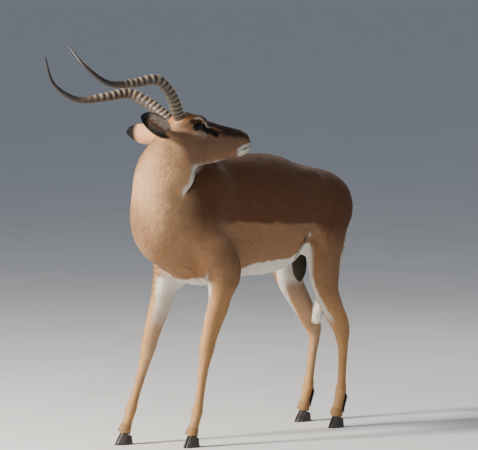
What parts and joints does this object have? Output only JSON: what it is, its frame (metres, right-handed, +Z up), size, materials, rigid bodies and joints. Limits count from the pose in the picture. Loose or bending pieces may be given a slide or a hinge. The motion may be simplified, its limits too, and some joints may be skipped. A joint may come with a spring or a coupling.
{
  "type": "standing impala ram model",
  "caption": "Life-size model of an impala ram standing on splayed legs, head turned back over its left shoulder, with lyre-shaped ringed horns and a short mesh coat.",
  "frame": {"origin": "middle of the bounding box, on the floor under the hooves", "axes": "-X is the way the chest faces, +Z up, -Y the animal's own left side, which its head is turned over"},
  "size_m": [1.217, 0.4026, 1.2367],
  "materials": {
    "coat": "short hair, satin on the back, matt on the belly",
    "horn": "ringed keratin, smooth near the tips",
    "eye": "wet gloss",
    "hoof": "dark horn, satin"
  },
  "bodies": {
    "root": {"head": "coat", "neck": "coat", "trunk": "coat", "scrotum": "coat", "tail": "coat", "foreleg_left_upper": "coat", "foreleg_left_lower": "coat", "foreleg_right_upper": "coat", "foreleg_right_lower": "coat", "hindleg_left_upper": "coat", "hindleg_left_lower": "coat", "hindleg_right_upper": "coat", "hindleg_right_lower": "coat", "ear_left": "coat", "ear_right": "coat", "eye_left": "eye", "eye_right": "eye", "horn_left": "horn", "horn_right": "horn", "hoof_fore_left_outer": "hoof", "hoof_fore_left_inner": "hoof", "hoof_fore_right_outer": "hoof", "hoof_fore_right_inner": "hoof", "hoof_hind_left_outer": "hoof", "hoof_hind_left_inner": "hoof", "hoof_hind_right_outer": "hoof", "hoof_hind_right_inner": "hoof"}
  },
  "joints": []
}
